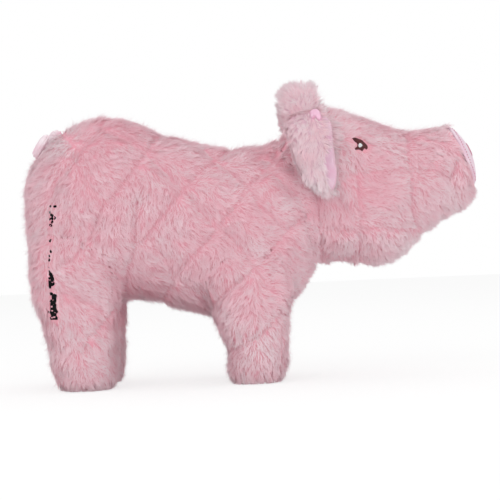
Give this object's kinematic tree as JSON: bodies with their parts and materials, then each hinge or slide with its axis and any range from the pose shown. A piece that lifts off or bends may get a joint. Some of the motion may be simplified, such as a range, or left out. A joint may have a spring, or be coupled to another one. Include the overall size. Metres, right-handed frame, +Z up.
{
  "type": "plush pig",
  "caption": "Quilted long-pile plush pig standing on its legs, with hinged ears, satin snout pad, curled tail and a squeaker in its wadding.",
  "frame": {"origin": "on the ground, midway between the ends and the sides of the pig", "axes": "+X from rump to snout, +Y to the pig's left, +Z up"},
  "size_m": [0.3238, 0.111, 0.2136],
  "materials": {
    "plush": "quilted long-pile plush, matt",
    "ear_plush": "long-pile plush, matt, paler at the tips",
    "ear_satin": "smooth satin, soft sheen",
    "pad_satin": "smooth satin, soft sheen",
    "tail_satin": "gathered satin, soft sheen",
    "wadding": "white polyester fibre filling",
    "eye_thread": "embroidery thread, dark red",
    "white_thread": "embroidery thread, white",
    "nose_thread": "embroidery thread, rose",
    "black_tape": "woven tape, matt black",
    "pouch_cloth": "plain woven cloth",
    "soft_plastic": "soft white plastic"
  },
  "bodies": {
    "root": {"trunk_cover": "plush", "head_cover": "plush", "right_hind_leg_cover": "plush", "left_hind_leg_cover": "plush", "right_front_leg_cover": "plush", "left_front_leg_cover": "plush", "snout_pad": "pad_satin", "trunk_wadding_rear": "wadding", "trunk_wadding_front": "wadding", "head_wadding": "wadding", "right_hind_leg_wadding": "wadding", "left_hind_leg_wadding": "wadding", "right_front_leg_wadding": "wadding", "left_front_leg_wadding": "wadding", "right_eye": "eye_thread", "left_eye": "eye_thread", "right_eye_light": "white_thread", "left_eye_light": "white_thread", "right_nostril": "nose_thread", "left_nostril": "nose_thread", "seam_tape": "black_tape", "squeaker_pouch": "pouch_cloth", "squeaker_bulb": "soft_plastic", "squeaker_whistle": "soft_plastic", "squeaker_reed": "soft_plastic"},
    "right_ear": {"right_ear_back": "ear_plush", "right_ear_lining": "ear_satin"},
    "left_ear": {"left_ear_back": "ear_plush", "left_ear_lining": "ear_satin"},
    "tail": {"tail": "tail_satin"}
  },
  "joints": [
    {"name": "right_ear_hinge", "type": "hinge", "parent": "root", "child": "right_ear", "pos_m": [0.04256, -0.0279, 0.18377], "axis": [-0.9703, 0, -0.2419], "range_deg": [0, 100], "stiffness_Nm_per_rad": 0.02},
    {"name": "left_ear_hinge", "type": "hinge", "parent": "root", "child": "left_ear", "pos_m": [0.04256, 0.0279, 0.18377], "axis": [0.9703, 0, 0.2419], "range_deg": [-12, 30], "stiffness_Nm_per_rad": 0.02},
    {"name": "tail_hinge", "type": "hinge", "parent": "root", "child": "tail", "pos_m": [-0.14169, -0.00439, 0.18346], "axis": [-0.0613, 0.9959, 0.0661], "range_deg": [0, 60], "stiffness_Nm_per_rad": 0.01}
  ]
}
